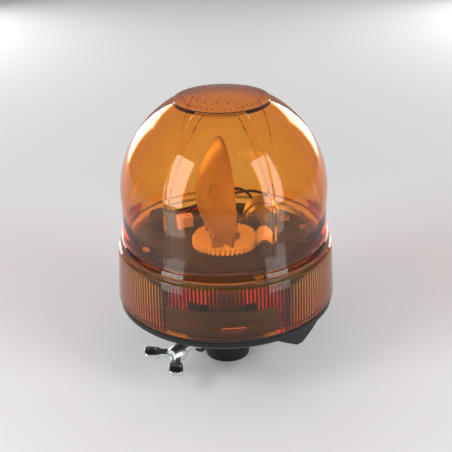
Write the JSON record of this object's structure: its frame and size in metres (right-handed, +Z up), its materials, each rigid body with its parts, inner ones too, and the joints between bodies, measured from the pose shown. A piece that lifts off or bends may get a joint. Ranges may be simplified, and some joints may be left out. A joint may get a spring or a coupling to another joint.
{
  "type": "rotating beacon light",
  "caption": "Pole-mounted rotating warning light: amber domed lens, worm-driven reflector round a bayonet lamp, and a socket clamped by a wing screw.",
  "frame": {"origin": "centre of the pole socket's mouth", "axes": "+Z up the axis of the light, -Y towards the front window of the lens"},
  "size_m": [0.145, 0.145, 0.188],
  "materials": {
    "black_plastic": "moulded, fine grain",
    "socket_plastic": "moulded, satin",
    "amber_lens": "clear amber, polished",
    "gasket_rubber": "matte",
    "grommet_rubber": "matte",
    "plate_plastic": "moulded, satin",
    "screw_steel": "zinc plated",
    "spring_steel": "drawn wire",
    "shaft_steel": "ground",
    "zinc": "zinc plated, satin",
    "brass": "turned",
    "bronze": "sintered",
    "nylon": "moulded, natural",
    "worm_acetal": "moulded, smooth",
    "bearing_acetal": "moulded, smooth",
    "holder_phenolic": "pressed, satin",
    "motor_steel": "drawn, plated",
    "strap_steel": "pressed, plated",
    "cap_plastic": "moulded",
    "reflector_chrome": "vacuum metallised inside, satin behind",
    "holder_steel": "nickel plated",
    "lamp_brass": "nickel brass, satin",
    "lamp_clear": "clear",
    "tungsten": "drawn wire",
    "suppressor_plastic": "moulded",
    "block_plastic": "moulded, cream",
    "wire_black": "extruded",
    "wire_red": "extruded",
    "wire_brown": "extruded"
  },
  "bodies": {
    "body": {"base_housing": "black_plastic", "lens_gasket": "gasket_rubber", "chassis_plate": "plate_plastic", "plate_screws": "screw_steel", "pole_socket": "socket_plastic", "socket_screws": "screw_steel", "clamp_insert": "brass", "contact_holder": "holder_phenolic", "contact_spring": "spring_steel", "earth_ring": "brass", "motor_can": "motor_steel", "motor_end_cap": "cap_plastic", "motor_terminals": "brass", "motor_strap": "strap_steel", "strap_screws": "screw_steel", "worm_bearing": "bearing_acetal", "retaining_ring": "spring_steel", "lamp_holder": "holder_steel", "lamp_contact": "brass", "suppressor": "suppressor_plastic", "terminal_block": "block_plastic", "terminal_screws": "brass", "cable_grommet": "grommet_rubber", "motor_lead": "wire_black", "suppressor_lead": "wire_black", "feed_wire": "wire_red", "lamp_wire": "wire_brown"},
    "rotor": {"worm_wheel": "nylon", "rotor_bush": "bronze", "reflector": "reflector_chrome", "reflector_screws": "screw_steel"},
    "worm_shaft": {"motor_shaft": "shaft_steel", "worm": "worm_acetal"},
    "shade": {"lens": "amber_lens"},
    "lamp": {"lamp_base": "lamp_brass", "lamp_glass": "lamp_clear", "lamp_filament": "tungsten"},
    "pad": {"clamp_pad": "brass"},
    "clamp_screw": {"wing_screw": "zinc"},
    "centre_contact": {"contact_plunger": "brass"}
  },
  "joints": [
    {"name": "rotor_spin", "type": "hinge", "parent": "body", "child": "rotor", "pos_m": [0, 0, 0.087], "axis": [0, 0, 1], "continuous": true},
    {"name": "worm_spin", "type": "hinge", "parent": "body", "child": "worm_shaft", "pos_m": [0.026, 0, 0.087], "axis": [0, 1, 0], "continuous": true},
    {"name": "lens_twist", "type": "hinge", "parent": "body", "child": "shade", "pos_m": [0, 0, 0.06], "axis": [0, 0, 1], "range_deg": [0, 22]},
    {"name": "clamp_slide", "type": "slide", "parent": "body", "child": "pad", "axis": [0.682, 0.7314, 0], "range_m": [0, 0.003]},
    {"name": "clamp_turn", "type": "hinge", "parent": "pad", "child": "clamp_screw", "pos_m": [-0.0341, -0.03657, 0.0215], "axis": [0.682, 0.7314, 0], "range_deg": [0, 864]},
    {"name": "contact_press", "type": "slide", "parent": "body", "child": "centre_contact", "axis": [0, 0, 1], "range_m": [0, 0.004], "stiffness_N_per_m": 300, "springref_m": -0.004, "deforming": ["contact_spring"]},
    {"name": "lamp_twist", "type": "hinge", "parent": "body", "child": "lamp", "pos_m": [0, 0, 0.1], "axis": [0, 0, 1], "range_deg": [0, 20]}
  ],
  "couplings": [
    {"joint": "worm_spin", "follows": "rotor_spin", "ratio": -42},
    {"joint": "clamp_turn", "follows": "clamp_slide", "rad_per_m": 5026.5}
  ]
}
